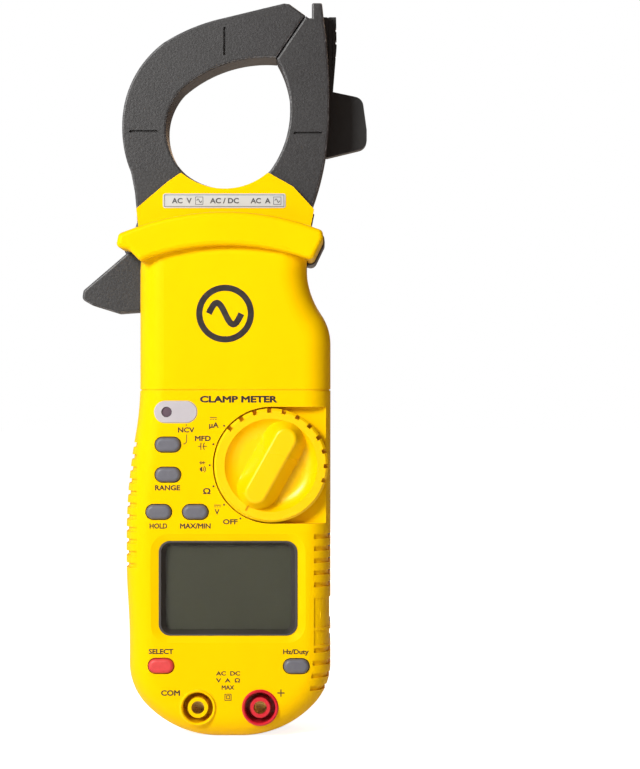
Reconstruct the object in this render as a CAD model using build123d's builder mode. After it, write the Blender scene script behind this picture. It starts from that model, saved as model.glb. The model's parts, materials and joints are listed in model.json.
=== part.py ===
from build123d import *
import os
from math import cos, radians, sin

os.makedirs("parts", exist_ok=True)

# A hand-held digital clamp meter, standing on its bottom end.
# +Z runs up to the jaws, the front panel faces -Y, and +X is to the right of the reader.
# The origin is the middle of the flat foot. Outlines are drawn in X and Z, seen from the front.

# ---------------------------------------------------------------- driving dimensions, mm
PANEL_Y = -19.0          # front panel
BACK_Y = 19.0            # back face
WALL = 2.2               # case wall
EDGE_R = 8.0             # rounding of the long case edges
FIT = 0.25               # gap between a moving piece and its opening
GRIP_HALF = 31.1         # half width of the grip at the display
FOOT_HALF = 3.5          # half width of the flat foot
GRIP_TOP = 156.0         # the grip ends inside the finger guard
SEAM_Z = 106.9           # groove across the front above the controls

JAW_Y = 7.75             # half thickness of the jaws
JAW_SKIN = 1.6           # jaw shell wall
JAW_GAP = 0.15           # half of the gap at the jaw faces
COLLAR_Y = 10.7          # outer face of the two collar plates
POCKET_Y = 8.2           # inner face of the two collar plates
PIVOT_X = -22.5
PIVOT_Z = 156.0
PIVOT_R = 2.5
SPLIT_DEG = 55.9         # the jaw faces lie on one line through the pivot
HUB_R = 7.4
FLANGE_Y = 22.3          # how far the finger guard stands forward
REAR_FLANGE_Y = 19.6     # and how far back
LEVER_Y = 5.9            # half thickness of the trigger lever

DIAL_X = 12.9
DIAL_Z = 83.9
DIAL_R = 17.4
DIAL_FLOOR_Y = -15.6     # floor of the dial recess
DIAL_RIM_Y = -20.6
DIAL_BAR_Y = -24.4
DIAL_BAR_DEG = 61.0      # direction of the grip bar at OFF

LCD_X = -0.3
LCD_Z = 46.2
LCD_W = 42.5
LCD_H = 29.0
LCD_R = 3.5

JACK_X = 9.525           # half of the 3/4 inch jack spacing
JACK_Z = 9.7
PLUG_R = 2.0

BUTTON_W = 7.8
BUTTON_H = 4.5
BUTTON_TOP_Y = -20.0
BUTTONS = {
    "ncv": (-18.7, 90.2),
    "range": (-18.7, 81.0),
    "hold": (-21.5, 69.6),
    "max_min": (-10.3, 69.6),
    "select": (-20.8, 22.5),
    "hz_duty": (20.6, 22.4),
}

NCV_X = -16.3
NCV_Z = 100.2
NCV_W = 13.3
NCV_H = 6.9
NCV_LED_X = -19.1

BOARD_FRONT_Y = -9.6
BOARD_T = 1.6
CASE_SCREWS = [(-25.2, 38.0), (25.2, 38.0), (-20.0, 112.0), (22.0, 112.0)]
POST_R = 3.0
POST_Y = 16.95           # the posts just run into the case's front and rear walls
SCREW_R = 1.3
CELL_R = 5.2
CELL_L = 44.0
CELL_Z = 24.0
CELL_Y = 9.6
CELL_X = (-12.0, 0.0, 12.0)
BOX_FLOOR_Y = 2.6
COVER_W = 41.0
COVER_Z = 14.0
COVER_H = 64.0
COVER_SCREW_Z = 74.6
HEAD_R = 2.6
HEAD_Y = 8.0             # seat of the case screw heads
JAW_HEAD_Y = 15.0
JAW_BOSS_X = (2.0, 16.0)
JAW_BOSS_Z = 152.6
JAW_BOSS_R = 2.4
PIN_Y = 14.5             # half length of the pivot pin
SHAFT_R = 3.95
ROTOR_R = 13.5
ROTOR_FRONT_Y = -13.6
ROTOR_BACK_Y = -11.4
BALL_R = 1.05
BALL_ARM = 10.5
DISH_Y = -17.9           # bottom of the knob's dish
DISH_R = 14.2
BAR_W = 14.4             # width of the grip bar at its foot
BAR_TAPER = 28.0
NOTCH_W = 1.3
NOTCH_STEP = 15.4
LCD_BACK_Y = -15.4
GLASS_W = 38.5
GLASS_H = 26.0
JACK_R = 5.6
JACK_FLOOR_Y = -11.0
SHROUD_R = 4.65
POST_OUT_R = 3.1
SOCKET_R = 2.5
SOCKET_Y = -17.6
LED_R = 1.6
BUTTON_FOOT_Y = -14.6
BUTTON_TRAVEL = 0.6
CORE_INSET = 3.2
CORE_Y = 4.0
ROOT_Z = 159.0           # lower edge of the cores
JAW_TOP_Z = 222.9        # flat end of the fixed jaw
POST_TOP_Z = 227.6
SPRING_ROOM_R = 4.6
SPRING_ROOM_Y = 3.6
HOLDER_BACK_Y = 12.4
HOLDER_SCREW_X = 27.0
HOLDER_SCREW_Z = 192.0


def facing(y):
    """Sketch plane at depth y: local axes are X and Z, and extrusions run towards the front."""
    return Plane(origin=(0, y, 0), x_dir=(1, 0, 0), z_dir=(0, -1, 0))


def slab(outline, y_back, y_front, inset=0.0, mode=Mode.ADD):
    """Extrude a front-view outline between two depths, drawn inward by inset."""
    with BuildSketch(facing(y_back)) as profile:
        add(outline)
        if inset:
            offset(amount=-inset, kind=Kind.INTERSECTION, mode=Mode.REPLACE)
    extrude(profile.sketch, amount=y_back - y_front, mode=mode)


def disc(x, z, radius, y_back, y_front, mode=Mode.ADD):
    """A cylinder along Y."""
    with BuildSketch(facing(y_back)) as profile:
        with Locations((x, z)):
            Circle(radius)
    extrude(profile.sketch, amount=y_back - y_front, mode=mode)


def plate(x, z, width, height, y_back, y_front, radius=0.0, mode=Mode.ADD):
    """A rectangular block centred at x, z, with rounded corners in front view."""
    with BuildSketch(facing(y_back)) as profile:
        with Locations((x, z)):
            if radius:
                RectangleRounded(width, height, radius)
            else:
                Rectangle(width, height)
    extrude(profile.sketch, amount=y_back - y_front, mode=mode)


def pill(x, z, length, width, y_back, y_front, mode=Mode.ADD, turn=0.0):
    """A bar with round ends, seen from the front."""
    with BuildSketch(facing(y_back)) as profile:
        with Locations((x, z)):
            SlotOverall(length, width, rotation=turn)
    extrude(profile.sketch, amount=y_back - y_front, mode=mode)


def front_faces(part):
    return part.faces().filter_by(Axis.Y).group_by(Axis.Y)[0]


def finish(sub, name):
    sub.part.label = name
    export_step(sub.part, f"parts/{name}.step")
    print(name, len(sub.part.solids()), round(sub.part.volume, 1))


# ---------------------------------------------------------------- outlines in front view
# grip: waisted on the left above the display, and swelling round the dial on the right
with BuildSketch() as grip:
    with BuildLine():
        Line((-FOOT_HALF, 0), (FOOT_HALF, 0))
        right_foot = TangentArc((FOOT_HALF, 0), (25.9, 9.6), tangent=(1, 0))
        TangentArc((25.9, 9.6), (GRIP_HALF, 21.9), tangent=right_foot % 1)
        Line((GRIP_HALF, 21.9), (GRIP_HALF, 121))
        shoulder = TangentArc((GRIP_HALF, 121), (28.2, 130.3), tangent=(0, 1))
        neck = TangentArc((28.2, 130.3), (23.7, 144), tangent=shoulder % 1)
        Polyline((23.7, 144), (23.5, GRIP_TOP), (-27.0, GRIP_TOP), (-27.8, 144), (-27.8, 110))
        waist = TangentArc((-27.8, 110), (-29.3, 93), tangent=(0, -1))
        TangentArc((-29.3, 93), (-32.1, 61.3), tangent=waist % 1)
        Line((-32.1, 61.3), (-32.1, 56))
        hip = TangentArc((-32.1, 56), (-31.6, 42), tangent=(0, -1))
        TangentArc((-31.6, 42), (-GRIP_HALF, 28), tangent=hip % 1)
        Line((-GRIP_HALF, 28), (-GRIP_HALF, 21.9))
        TangentArc((-25.9, 9.6), (-GRIP_HALF, 21.9), tangent=(-(right_foot % 1).X, (right_foot % 1).Y))
        TangentArc((-FOOT_HALF, 0), (-25.9, 9.6), tangent=(-1, 0))
    make_face()

# collar: the two plates that hold the jaws, cut out along the bottom of the jaw window
with BuildSketch() as collar:
    with BuildLine():
        Polyline((-27.0, 144), (-28.6, 158.4), (-29.2, 163.2), (-19.6, 171.4), (-15.3, 174.4))
        ThreePointArc((-15.3, 174.4), (-1.9, 169.4), (11.7, 174.4))
        Polyline((11.7, 174.4), (19.5, 170), (26, 163), (25.1, 158.4), (23.5, 144), (-27.0, 144))
    make_face()
    fillet(collar.vertices().group_by(Axis.Y)[-1], radius=0.8)

# finger guard: an arched band with blunt ends
with BuildSketch() as guard:
    with BuildLine():
        ThreePointArc((-27.4, 156.9), (0.5, 161.3), (28.6, 155.6))
        Polyline((28.6, 155.6), (28.9, 153.2), (25.6, 146.4))
        ThreePointArc((25.6, 146.4), (-0.5, 151.1), (-27.0, 146.2))
        Polyline((-27.0, 146.2), (-30.3, 149.6), (-34.4, 150.6), (-33.6, 154.6), (-27.4, 156.9))
    make_face()
    fillet(guard.vertices().filter_by(lambda v: v.X > 20), radius=1.6)
    fillet(guard.vertices().filter_by(lambda v: -31 < v.X < -26), radius=1.0)
    fillet(guard.vertices().filter_by(lambda v: v.X < -33.5), radius=1.4)

# jaw window, a rounded opening with its corner at the upper jaw faces
with BuildSketch() as window:
    with BuildLine():
        ThreePointArc((14.2, 210.4), (-1.6, 208.5), (-15.1, 200.8))
        ThreePointArc((-15.1, 200.8), (-20.15, 187.5), (-13.9, 174.1))
        ThreePointArc((-13.9, 174.1), (-1.5, 169.7), (12.3, 175.3))
        ThreePointArc((12.3, 175.3), (18.4, 191.5), (14.2, 210.4))
    make_face()

# both jaws together, before they part along the line through the pivot
with BuildSketch() as jaw_outer:
    with BuildLine():
        Polyline((-29.0, PIVOT_Z), (-29.4, 163), (-29.9, 168.5), (-31.1, 174.7))
        ThreePointArc((-31.1, 174.7), (-33.2, 181.6), (-33.9, 188.9))
        ThreePointArc((-33.9, 188.9), (-30.8, 203.2), (-21.0, 215.2))
        ThreePointArc((-21.0, 215.2), (-13.6, 219.2), (-4.9, 222.3))
        Polyline((-4.9, 222.3), (16.6, 227.5), (18.3, 227.3), (24.4, JAW_TOP_Z), (29.0, JAW_TOP_Z))
        ThreePointArc((29.0, JAW_TOP_Z), (30.5, 207.4), (30.7, 192.0))
        ThreePointArc((30.7, 192.0), (29.3, 178.4), (25.7, 165.1))
        Polyline((25.7, 165.1), (23.4, 158), (23.4, 147.5), (-16, 147.5), (-16, PIVOT_Z), (-29.0, PIVOT_Z))
    make_face()

with BuildSketch() as jaw_blank:
    add(jaw_outer.sketch)
    add(window.sketch, mode=Mode.SUBTRACT)

SPLIT_X = cos(radians(SPLIT_DEG))
SPLIT_Z = sin(radians(SPLIT_DEG))
REACH = 120.0


def beside_split(side, gap):
    """Everything on one side of the jaw faces: side 1 is the fixed jaw's, -1 the moving jaw's."""
    near = (PIVOT_X + side * gap * SPLIT_Z, PIVOT_Z - side * gap * SPLIT_X)
    a = (near[0] - REACH * SPLIT_X, near[1] - REACH * SPLIT_Z)
    b = (near[0] + REACH * SPLIT_X, near[1] + REACH * SPLIT_Z)
    far = (side * REACH * SPLIT_Z, -side * REACH * SPLIT_X)
    with BuildSketch() as half:
        with BuildLine():
            Polyline(a, b, (b[0] + far[0], b[1] + far[1]), (a[0] + far[0], a[1] + far[1]), close=True)
        make_face()
    return half.sketch


with BuildSketch() as fixed_jaw:
    add(jaw_blank.sketch)
    add(beside_split(1, JAW_GAP), mode=Mode.INTERSECT)
    with Locations((PIVOT_X, PIVOT_Z)):
        Circle(HUB_R + 0.5, mode=Mode.SUBTRACT)

# a solid post stands on the fixed jaw's flat end, flush with its front and back
with BuildSketch() as jaw_post:
    with BuildLine():
        Polyline((25.3, 220.5), (25.3, POST_TOP_Z), (28.5, POST_TOP_Z), (29.0, JAW_TOP_Z), (27.5, 220.5),
                 close=True)
    make_face()
    fillet(jaw_post.vertices().group_by(Axis.Y)[-1], radius=0.6)

with BuildSketch() as moving_jaw:
    add(jaw_blank.sketch)
    add(beside_split(-1, JAW_GAP), mode=Mode.INTERSECT)
    with Locations((PIVOT_X, PIVOT_Z)):
        Circle(HUB_R)

# trigger lever: a hub on the pivot, and an arm that comes out of the case's left side
with BuildSketch() as lever_arm:
    with BuildLine():
        Polyline((-28.2, 152.9), (-32.2, 150), (-46.2, 138.0), (-46.6, 135.2), (-43.3, 133.3),
                 (-35.5, 130.9), (-28.4, 131.4), (-17.8, 152.9), (-28.2, 152.9))
    make_face()
    fillet(lever_arm.vertices().filter_by(lambda v: v.X < -33), radius=1.6)

with BuildSketch() as lever:
    add(lever_arm.sketch)
    with Locations((PIVOT_X, PIVOT_Z)):
        Circle(HUB_R - JAW_SKIN - 0.1)

# ---------------------------------------------------------------- case blanks
with BuildPart() as grip_solid:
    slab(grip.sketch, 0, PANEL_Y)
    fillet(front_faces(grip_solid).edges(), radius=EDGE_R)


def grip_core(depth):
    """The grip with its flanks and front drawn in by depth."""
    with BuildPart() as core:
        slab(grip.sketch, 0, PANEL_Y + depth, inset=depth)
        fillet(front_faces(core).edges(), radius=EDGE_R - depth)
    return core.part


def guard_band(reach, grow):
    """The finger guard standing forward by reach, its outline enlarged by grow."""
    with BuildPart() as band:
        slab(guard.sketch, 0, -reach, inset=-grow)
        fillet(front_faces(band).edges(), radius=1.5)
    return band.part


RIB_W = 1.5
RIB_PITCH = 3.7
LOW_RIB_PITCH = 3.9
RIB_DEPTH = 0.7
PAD_DEPTH = 0.35
SEAM_W = 0.4
CLEAR_FRONT_Y = PANEL_Y - 2


def groove(left, right, z, height):
    """A block through the grip's front, later cut back to the depth of a groove."""
    plate((left + right) / 2, z, right - left, height, 0, CLEAR_FRONT_Y)


with BuildPart() as rib_cuts:
    for step in range(5):
        groove(26.0, 34.0, 47.2 + RIB_PITCH * step, RIB_W)
    for step in range(4):
        groove(24.8 + 0.4 * step, 34.0, 15.4 + LOW_RIB_PITCH * step, RIB_W)
    for step in range(11):
        groove(-35.0, -28.3, 53.0 + RIB_PITCH * step, RIB_W)
    add(grip_core(RIB_DEPTH), mode=Mode.SUBTRACT)

with BuildPart() as pad_cuts:
    groove(26.0, 34.0, 38.6, 9.2)
    groove(26.0, 34.0, 30.9, 4.6)
    groove(-35.0, 35.0, SEAM_Z, SEAM_W)
    add(grip_core(PAD_DEPTH), mode=Mode.SUBTRACT)

# ---------------------------------------------------------------- case
with BuildSketch() as lever_slot:
    with BuildLine():
        Polyline((-60, 119), (-10, 119), (-10, 150), (-60, 150), close=True)
    make_face()
with BuildSketch() as jaw_room:
    with BuildLine():
        Polyline((-60, 146), (24, 146), (24, 158.5), (60, 158.5), (60, 190), (-60, 190), close=True)
    make_face()


def case_half(guard_reach, guard_grow):
    """The half shell in front of the parting plane, without its openings."""
    with BuildPart() as half:
        add(grip_solid.part)
        add(rib_cuts.part, mode=Mode.SUBTRACT)
        add(pad_cuts.part, mode=Mode.SUBTRACT)
        slab(collar.sketch, 0, -COLLAR_Y)
        add(guard_band(guard_reach, guard_grow))
        add(grip_core(WALL), mode=Mode.SUBTRACT)
        slab(jaw_room.sketch, 0, -POCKET_Y, mode=Mode.SUBTRACT)
        slab(lever_slot.sketch, 0, -LEVER_Y - 0.7, mode=Mode.SUBTRACT)
    return half.part


with BuildPart() as front_case:
    add(case_half(FLANGE_Y, 0.0))
    # screw posts, and bosses that locate the fixed jaw
    for x, z in CASE_SCREWS:
        disc(x, z, POST_R, 0, -POST_Y)
        disc(x, z, SCREW_R, 0, -11, mode=Mode.SUBTRACT)
    for x in JAW_BOSS_X:
        disc(x, JAW_BOSS_Z, JAW_BOSS_R, 0, -POCKET_Y - 1)
        disc(x, JAW_BOSS_Z, SCREW_R, 0, -11, mode=Mode.SUBTRACT)
    # floor of the dial recess, and the recess, which runs out to the right flank
    plate(11.5, DIAL_Z, 33.2, 39, DIAL_FLOOR_Y + 1.4, -POST_Y)
    disc(DIAL_X, DIAL_Z, DIAL_R + 0.5, DIAL_FLOOR_Y, PANEL_Y - 1, mode=Mode.SUBTRACT)
    plate(DIAL_X + 20, DIAL_Z, 40, 2 * DIAL_R + 1, DIAL_FLOOR_Y, PANEL_Y - 1, mode=Mode.SUBTRACT)
    disc(DIAL_X, DIAL_Z, SHAFT_R + FIT, 0, CLEAR_FRONT_Y, mode=Mode.SUBTRACT)
    # display opening with a shallow bevel round it
    plate(LCD_X, LCD_Z, LCD_W, LCD_H, 0, PANEL_Y - 1, LCD_R, mode=Mode.SUBTRACT)
    with BuildSketch(facing(PANEL_Y + 0.7)) as bevel_foot:
        with Locations((LCD_X, LCD_Z)):
            RectangleRounded(LCD_W, LCD_H, LCD_R)
    with BuildSketch(facing(PANEL_Y)) as bevel_mouth:
        with Locations((LCD_X, LCD_Z)):
            RectangleRounded(LCD_W + 5, LCD_H + 4.4, LCD_R + 2.2)
    loft([bevel_foot.sketch, bevel_mouth.sketch], mode=Mode.SUBTRACT)
    for x, z in BUTTONS.values():
        pill(x, z, BUTTON_W + 2 * FIT, BUTTON_H + 2 * FIT, 0, CLEAR_FRONT_Y, mode=Mode.SUBTRACT)
    pill(NCV_X, NCV_Z, NCV_W, NCV_H, 0, CLEAR_FRONT_Y, mode=Mode.SUBTRACT)
    for x in (-JACK_X, JACK_X):
        disc(x, JACK_Z, JACK_R, 0, CLEAR_FRONT_Y, mode=Mode.SUBTRACT)
    disc(PIVOT_X, PIVOT_Z, PIVOT_R, 0, -PIN_Y, mode=Mode.SUBTRACT)
finish(front_case, "front_case")

with BuildPart() as rear_case:
    mirror(case_half(REAR_FLANGE_Y, 0.5), about=Plane.XZ)
    for x, z in CASE_SCREWS:
        disc(x, z, POST_R, POST_Y, 0)
        disc(x, z, SCREW_R, BACK_Y, 0, mode=Mode.SUBTRACT)
        disc(x, z, HEAD_R, BACK_Y, HEAD_Y, mode=Mode.SUBTRACT)
    for x in JAW_BOSS_X:
        disc(x, JAW_BOSS_Z, JAW_BOSS_R, POCKET_Y + 1, 0)
        disc(x, JAW_BOSS_Z, SCREW_R, FLANGE_Y, 0, mode=Mode.SUBTRACT)
        disc(x, JAW_BOSS_Z, HEAD_R, FLANGE_Y + 1, JAW_HEAD_Y, mode=Mode.SUBTRACT)
    # battery box behind the cover
    plate(0, COVER_Z + COVER_H / 2, COVER_W, COVER_H, BACK_Y, BACK_Y - WALL, 2, mode=Mode.SUBTRACT)
    plate(0, COVER_Z + COVER_H / 2, COVER_W + 3, COVER_H + 3, BACK_Y - WALL, BOX_FLOOR_Y)
    plate(0, COVER_Z + COVER_H / 2, COVER_W - 2, COVER_H - 2, BACK_Y, BOX_FLOOR_Y + 1.2, mode=Mode.SUBTRACT)
    disc(0, COVER_SCREW_Z, POST_R, BACK_Y - WALL, BOX_FLOOR_Y + 1)
    disc(0, COVER_SCREW_Z, SCREW_R, BACK_Y, BOX_FLOOR_Y + 3, mode=Mode.SUBTRACT)
    disc(PIVOT_X, PIVOT_Z, PIVOT_R, PIN_Y, 0, mode=Mode.SUBTRACT)
finish(rear_case, "rear_case")

with BuildPart() as battery_cover:
    plate(0, COVER_Z + COVER_H / 2, COVER_W - 0.4, COVER_H - 0.4, BACK_Y, BACK_Y - WALL + 0.2, 1.8)
    disc(0, COVER_SCREW_Z, SCREW_R, BACK_Y, 0, mode=Mode.SUBTRACT)
    disc(0, COVER_SCREW_Z, HEAD_R, BACK_Y, BACK_Y - 1.4, mode=Mode.SUBTRACT)
    for step in range(4):
        pill(0, COVER_Z + 6 + 2.4 * step, 16, 1.1, BACK_Y, BACK_Y - 0.5, mode=Mode.SUBTRACT)
finish(battery_cover, "battery_cover")


def screw(x, z, head_back, head_t, tip):
    """A pan head screw driven from the back, with a cross recess."""
    disc(x, z, HEAD_R - 0.1, head_back, head_back - head_t)
    disc(x, z, SCREW_R, head_back - head_t, tip)
    plate(x, z, 2.6, 0.7, head_back, head_back - 0.7, mode=Mode.SUBTRACT)
    plate(x, z, 0.7, 2.6, head_back, head_back - 0.7, mode=Mode.SUBTRACT)


with BuildPart() as battery_cover_screw:
    screw(0, COVER_SCREW_Z, BACK_Y - 0.1, 1.3, BOX_FLOOR_Y + 4)
finish(battery_cover_screw, "battery_cover_screw")

with BuildPart() as case_screws:
    for x, z in CASE_SCREWS:
        screw(x, z, HEAD_Y + 1.9, 1.9, -9)
finish(case_screws, "case_screws")

with BuildPart() as jaw_mount_screws:
    for x in JAW_BOSS_X:
        screw(x, JAW_BOSS_Z, JAW_HEAD_Y + 1.9, 1.9, -10)
finish(jaw_mount_screws, "jaw_mount_screws")

with BuildPart() as rating_label:
    plate(-1.85, 165.6, 38.1, 4.5, -COLLAR_Y, -COLLAR_Y - 0.2, 0.8)
finish(rating_label, "rating_label")

# ---------------------------------------------------------------- display
with BuildPart() as lcd_bezel:
    plate(LCD_X, LCD_Z, LCD_W, LCD_H, LCD_BACK_Y, PANEL_Y + 0.5, LCD_R)
    plate(LCD_X, LCD_Z, GLASS_W, GLASS_H, 0, PANEL_Y - 1, 2, mode=Mode.SUBTRACT)
    with BuildSketch(facing(LCD_BACK_Y - 1.2)) as slope_foot:
        with Locations((LCD_X, LCD_Z)):
            RectangleRounded(GLASS_W, GLASS_H, 2)
    with BuildSketch(facing(PANEL_Y + 0.5)) as slope_mouth:
        with Locations((LCD_X, LCD_Z)):
            RectangleRounded(GLASS_W + 2.6, GLASS_H + 2.0, 3)
    loft([slope_foot.sketch, slope_mouth.sketch], mode=Mode.SUBTRACT)
finish(lcd_bezel, "lcd_bezel")

with BuildPart() as lcd_window:
    plate(LCD_X, LCD_Z, GLASS_W, GLASS_H, LCD_BACK_Y - 0.1, LCD_BACK_Y - 1.2, 2)
finish(lcd_window, "lcd_window")

with BuildPart() as lcd_panel:
    plate(LCD_X, LCD_Z, LCD_W - 1.5, LCD_H - 1.5, LCD_BACK_Y + 2.2, LCD_BACK_Y)
finish(lcd_panel, "lcd_panel")

with BuildPart() as zebra_strip:
    plate(LCD_X, LCD_Z - LCD_H / 2 + 2.4, 36, 2.0, BOARD_FRONT_Y, LCD_BACK_Y + 2.2)
finish(zebra_strip, "zebra_strip")

# ---------------------------------------------------------------- electronics
BOARD_BACK_Y = BOARD_FRONT_Y + BOARD_T
with BuildPart() as main_board:
    slab(grip.sketch, BOARD_BACK_Y, BOARD_FRONT_Y, inset=3.2)
    plate(0, 130, 80, 2 * (130 - 105.5), 0, PANEL_Y, mode=Mode.SUBTRACT)
    for x, z in CASE_SCREWS:
        disc(x, z, POST_R + 0.6, 0, PANEL_Y, mode=Mode.SUBTRACT)
finish(main_board, "main_board")

with BuildPart() as meter_chip:
    plate(-8, 50, 12, 12, BOARD_BACK_Y + 1.4, BOARD_BACK_Y)
finish(meter_chip, "meter_chip")

with BuildPart() as crystal:
    pill(6, 58, 10.5, 4.4, BOARD_BACK_Y + 3.4, BOARD_BACK_Y)
finish(crystal, "crystal")

with BuildPart() as buzzer:
    disc(12, 92, 6.5, BOARD_BACK_Y + 5.0, BOARD_BACK_Y)
    disc(12, 92, 1.2, BOARD_BACK_Y + 5.0, BOARD_BACK_Y + 3.4, mode=Mode.SUBTRACT)
finish(buzzer, "buzzer")


def jack(x, name):
    """Shrouded 4 mm jack: a skirt, a ring-shaped gap and a hollow post round the brass socket."""
    with BuildPart() as body:
        disc(x, JACK_Z, JACK_R, BOARD_FRONT_Y, PANEL_Y - 0.6)
        disc(x, JACK_Z, SHROUD_R, JACK_FLOOR_Y, PANEL_Y - 1, mode=Mode.SUBTRACT)
        disc(x, JACK_Z, POST_OUT_R, JACK_FLOOR_Y, PANEL_Y)
        disc(x, JACK_Z, SOCKET_R, BOARD_FRONT_Y, SOCKET_Y, mode=Mode.SUBTRACT)
        disc(x, JACK_Z, PLUG_R, 0, PANEL_Y - 1, mode=Mode.SUBTRACT)
        rim = body.faces().filter_by(Axis.Y).sort_by(Axis.Y)[0]
        chamfer(rim.edges(), length=0.4)
    finish(body, name)


jack(-JACK_X, "jack_com")
jack(JACK_X, "jack_positive")

with BuildPart() as jack_sockets:
    for x in (-JACK_X, JACK_X):
        disc(x, JACK_Z, SOCKET_R, BOARD_FRONT_Y, SOCKET_Y)
        disc(x, JACK_Z, PLUG_R, BOARD_FRONT_Y - 0.8, SOCKET_Y, mode=Mode.SUBTRACT)
finish(jack_sockets, "jack_sockets")

with BuildPart() as ncv_window:
    pill(NCV_X, NCV_Z, NCV_W, NCV_H, PANEL_Y + WALL, PANEL_Y - 0.2)
    chamfer(front_faces(ncv_window).edges(), length=0.3)
    disc(NCV_LED_X, NCV_Z, LED_R, PANEL_Y + WALL, PANEL_Y - 1, mode=Mode.SUBTRACT)
finish(ncv_window, "ncv_window")

with BuildPart() as ncv_led:
    disc(NCV_LED_X, NCV_Z, LED_R - 0.1, BOARD_FRONT_Y, PANEL_Y + 0.2)
finish(ncv_led, "ncv_led")

with BuildPart() as batteries:
    for x in CELL_X:
        with BuildSketch(Plane.XY.offset(CELL_Z)) as cell_round:
            with Locations((x, CELL_Y)):
                Circle(CELL_R)
        extrude(amount=CELL_L - 1)
        with BuildSketch(Plane.XY.offset(CELL_Z + CELL_L - 1)) as cell_tip:
            with Locations((x, CELL_Y)):
                Circle(1.9)
        extrude(amount=1)
finish(batteries, "batteries")

with BuildPart() as cell_spring:
    with BuildLine() as spring_wire:
        Helix(pitch=1.5, height=4.4, radius=2.8)
    with BuildSketch(Plane(origin=spring_wire.line @ 0, z_dir=spring_wire.line % 0)):
        Circle(0.3)
    sweep(path=spring_wire.line, is_frenet=True)

with BuildPart() as battery_springs:
    with Locations(*[(x, CELL_Y, CELL_Z - 5.0) for x in CELL_X]):
        add(cell_spring.part)
finish(battery_springs, "battery_springs")

with BuildPart() as battery_contacts:
    for x in CELL_X:
        with BuildSketch(Plane.XY.offset(CELL_Z - 5.8)) as spring_plate:
            with Locations((x, CELL_Y)):
                Rectangle(9, 9)
        extrude(amount=0.5)
        with BuildSketch(Plane.XY.offset(CELL_Z + CELL_L)) as tip_plate:
            with Locations((x, CELL_Y)):
                Rectangle(9, 9)
        extrude(amount=0.5)
finish(battery_contacts, "battery_contacts")

# ---------------------------------------------------------------- controls
for name, (x, z) in BUTTONS.items():
    with BuildPart() as button:
        pill(x, z, BUTTON_W, BUTTON_H, BUTTON_FOOT_Y, BUTTON_TOP_Y)
        fillet(front_faces(button).edges(), radius=1.1)
        pill(x, z, BUTTON_W + 1.6, BUTTON_H + 1.6, BUTTON_FOOT_Y, BUTTON_FOOT_Y - 1.0)
    finish(button, f"button_{name}")

PAD_Y = BUTTON_FOOT_Y + BUTTON_TRAVEL + 0.1
with BuildPart() as keypad_membrane:
    plate(-15.4, 80.3, 21.4, 33, BOARD_FRONT_Y, BOARD_FRONT_Y - 1, 2)
    for name in ("ncv", "range", "hold", "max_min"):
        pill(*BUTTONS[name], BUTTON_W, BUTTON_H, BOARD_FRONT_Y, PAD_Y)
finish(keypad_membrane, "keypad_membrane")

for name in ("select", "hz_duty"):
    with BuildPart() as dome:
        pill(*BUTTONS[name], BUTTON_W, BUTTON_H, BOARD_FRONT_Y, PAD_Y)
        pill(*BUTTONS[name], BUTTON_W + 1, BUTTON_H + 1, BOARD_FRONT_Y, BOARD_FRONT_Y - 1)
    finish(dome, f"keypad_{name}")

with BuildPart() as dial_knob:
    with BuildSketch(Plane(origin=(DIAL_X, 0, DIAL_Z), x_dir=(1, 0, 0), z_dir=(0, 0, 1))) as knob_half:
        with BuildLine():
            Polyline((0, DISH_Y), (0, ROTOR_FRONT_Y + 1.2), (SHAFT_R, ROTOR_FRONT_Y + 1.2),
                     (SHAFT_R, DIAL_FLOOR_Y - 0.2), (DIAL_R - 0.4, DIAL_FLOOR_Y - 0.2),
                     (DIAL_R, DIAL_FLOOR_Y - 0.6), (DIAL_R, DIAL_RIM_Y + 0.7), (DIAL_R - 0.7, DIAL_RIM_Y),
                     (DISH_R, DIAL_RIM_Y))
            dish_side = TangentArc((DISH_R, DIAL_RIM_Y), (DISH_R - 5, DISH_Y), tangent=(-0.6, 1))
            Line(dish_side @ 1, (0, DISH_Y))
        make_face()
    revolve(axis=Axis((DIAL_X, 0, DIAL_Z), (0, 1, 0)))
    with BuildSketch(facing(DISH_Y + 1)) as bar_foot:
        with Locations((DIAL_X, DIAL_Z)):
            SlotOverall(2 * DIAL_R - 2.0, BAR_W, rotation=DIAL_BAR_DEG)
    extrude(amount=DISH_Y + 1 - DIAL_BAR_Y, taper=BAR_TAPER)
    fillet(front_faces(dial_knob).edges(), radius=1.2)
    with BuildSketch(facing(DIAL_FLOOR_Y - 1.2)) as notches:
        with Locations((DIAL_X, DIAL_Z)):
            with PolarLocations(DIAL_R, 11, start_angle=DIAL_BAR_DEG - 5 * NOTCH_STEP,
                                angular_range=10 * NOTCH_STEP, endpoint=True):
                Rectangle(2.6, NOTCH_W)
    extrude(amount=8, mode=Mode.SUBTRACT)
    pill(DIAL_X - 14.9 * cos(radians(DIAL_BAR_DEG)), DIAL_Z - 14.9 * sin(radians(DIAL_BAR_DEG)),
         1.8, 0.7, DIAL_RIM_Y + 0.7, DIAL_BAR_Y, mode=Mode.SUBTRACT, turn=DIAL_BAR_DEG)
finish(dial_knob, "dial_knob")

with BuildPart() as dial_rotor:
    disc(DIAL_X, DIAL_Z, ROTOR_R, ROTOR_BACK_Y, ROTOR_FRONT_Y)
    disc(DIAL_X, DIAL_Z, SHAFT_R, ROTOR_FRONT_Y + 1.2, ROTOR_FRONT_Y - 1, mode=Mode.SUBTRACT)
    disc(DIAL_X + BALL_ARM, DIAL_Z, BALL_R + 0.02, ROTOR_BACK_Y - 0.4, ROTOR_FRONT_Y, mode=Mode.SUBTRACT)
finish(dial_rotor, "dial_rotor")

with BuildPart() as detent_ball:
    with Locations((DIAL_X + BALL_ARM, ROTOR_FRONT_Y + 0.6, DIAL_Z)):
        Sphere(BALL_R)
finish(detent_ball, "detent_ball")

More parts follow.
